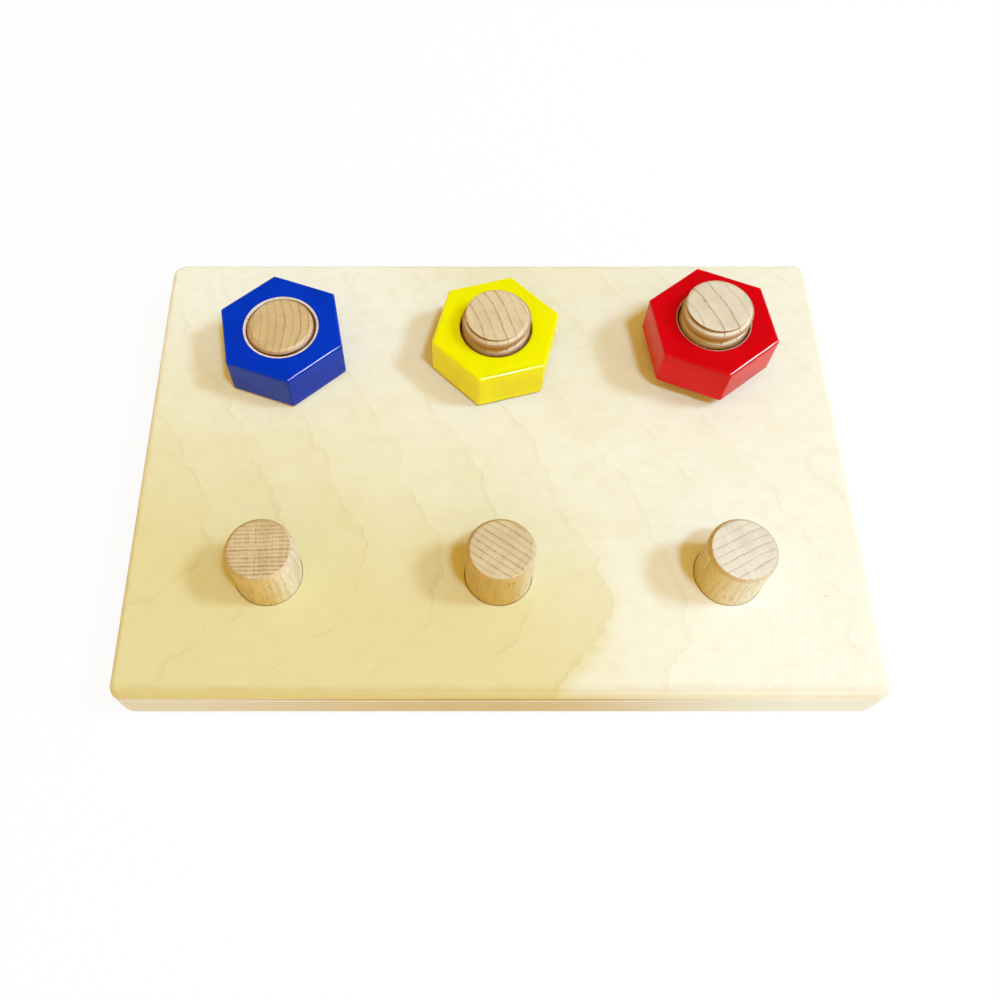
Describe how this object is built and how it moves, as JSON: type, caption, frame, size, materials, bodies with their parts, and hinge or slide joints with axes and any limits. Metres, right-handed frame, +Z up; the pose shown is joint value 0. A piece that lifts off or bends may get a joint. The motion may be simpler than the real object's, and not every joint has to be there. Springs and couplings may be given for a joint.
{
  "type": "nut and bolt toy",
  "caption": "Wooden nut and bolt board: coarse threaded bolts of graded height carry painted hexagonal nuts that screw up and off, behind a row of plain parking pegs.",
  "frame": {"origin": "middle of the board's underside", "axes": "+X to the right along the rows, +Y from the plain pegs to the bolts, +Z up"},
  "size_m": [0.3, 0.21, 0.0559],
  "materials": {
    "birch_plywood": "pale birch plywood, clear satin lacquer",
    "beech": "turned beech, sanded, clear oil",
    "bare_rim": "bare sanded beech",
    "blue_paint": "gloss blue paint on beech",
    "yellow_paint": "gloss yellow paint on beech",
    "red_paint": "gloss red paint on beech",
    "screw_steel": "zinc plated steel"
  },
  "bodies": {
    "board": {"base_board": "birch_plywood", "blue_bolt": "beech", "blue_bolt_screw": "screw_steel", "yellow_bolt": "beech", "yellow_bolt_screw": "screw_steel", "red_bolt": "beech", "red_bolt_screw": "screw_steel", "left_peg": "beech", "left_peg_screw": "screw_steel", "middle_peg": "beech", "middle_peg_screw": "screw_steel", "right_peg": "beech", "right_peg_screw": "screw_steel"},
    "blue_nut_carrier": {"blue_nut_rim": "bare_rim"},
    "blue_nut_body": {"blue_nut": "blue_paint"},
    "yellow_nut_carrier": {"yellow_nut_rim": "yellow_paint"},
    "yellow_nut_body": {"yellow_nut": "yellow_paint"},
    "red_nut_carrier": {"red_nut_rim": "bare_rim"},
    "red_nut_body": {"red_nut": "red_paint"}
  },
  "joints": [
    {"name": "blue_nut_rise", "type": "slide", "parent": "board", "child": "blue_nut_carrier", "axis": [0, 0, 1], "range_m": [0, 0.02311]},
    {"name": "blue_nut_turn", "type": "hinge", "parent": "blue_nut_carrier", "child": "blue_nut_body", "pos_m": [-0.0922, 0.053, 0.021], "axis": [0, 0, 1], "range_deg": [0, 1386]},
    {"name": "yellow_nut_rise", "type": "slide", "parent": "board", "child": "yellow_nut_carrier", "axis": [0, 0, 1], "range_m": [0, 0.02931]},
    {"name": "yellow_nut_turn", "type": "hinge", "parent": "yellow_nut_carrier", "child": "yellow_nut_body", "pos_m": [0.0011, 0.053, 0.021], "axis": [0, 0, 1], "range_deg": [0, 1758]},
    {"name": "red_nut_rise", "type": "slide", "parent": "board", "child": "red_nut_carrier", "axis": [0, 0, 1], "range_m": [-0.00501, 0.03051]},
    {"name": "red_nut_turn", "type": "hinge", "parent": "red_nut_carrier", "child": "red_nut_body", "pos_m": [0.0944, 0.053, 0.021], "axis": [0, 0, 1], "range_deg": [-300, 1830]}
  ],
  "couplings": [
    {"joint": "blue_nut_rise", "follows": "blue_nut_turn", "m_per_rad": 0.00095493},
    {"joint": "yellow_nut_rise", "follows": "yellow_nut_turn", "m_per_rad": 0.00095493},
    {"joint": "red_nut_rise", "follows": "red_nut_turn", "m_per_rad": 0.00095493}
  ]
}
